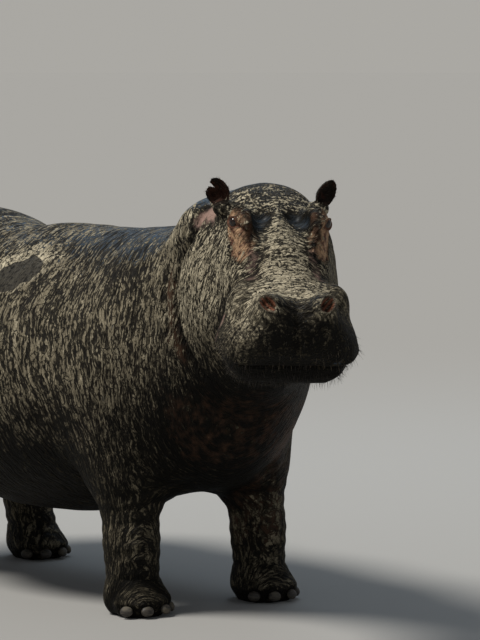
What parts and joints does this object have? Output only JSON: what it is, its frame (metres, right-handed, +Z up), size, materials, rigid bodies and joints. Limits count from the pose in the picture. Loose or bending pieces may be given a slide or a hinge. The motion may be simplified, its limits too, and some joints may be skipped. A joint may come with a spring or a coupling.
{
  "type": "hippopotamus",
  "caption": "Standing hippopotamus with a barrel-shaped trunk, short legs and its broad head turned to its right.",
  "frame": {"origin": "on the floor, under the middle of the animal's bounding box", "axes": "+X the way the trunk faces, +Y the animal's left, +Z up"},
  "size_m": [3.123, 1.2248, 1.5744],
  "materials": {
    "hide": "dark grey-brown skin under flecks of pale dried mud",
    "ear_hide": "dark brown skin with short hairs",
    "eye": "wet dark brown",
    "toenail": "dull dark horn"
  },
  "bodies": {
    "root": {"fore_right_leg": "hide", "fore_right_foot": "hide", "fore_right_nail_1": "toenail", "fore_right_nail_2": "toenail", "fore_right_nail_3": "toenail", "fore_right_nail_4": "toenail", "fore_left_leg": "hide", "fore_left_foot": "hide", "fore_left_nail_1": "toenail", "fore_left_nail_2": "toenail", "fore_left_nail_3": "toenail", "fore_left_nail_4": "toenail", "hind_right_leg": "hide", "hind_right_foot": "hide", "hind_right_nail_1": "toenail", "hind_right_nail_2": "toenail", "hind_right_nail_3": "toenail", "hind_right_nail_4": "toenail", "hind_left_leg": "hide", "hind_left_foot": "hide", "hind_left_nail_1": "toenail", "hind_left_nail_2": "toenail", "hind_left_nail_3": "toenail", "hind_left_nail_4": "toenail", "trunk": "hide", "neck": "hide", "tail": "hide", "head": "hide", "lower_jaw": "hide", "eye_right": "eye", "eye_left": "eye", "ear_right": "ear_hide", "ear_left": "ear_hide"}
  },
  "joints": []
}
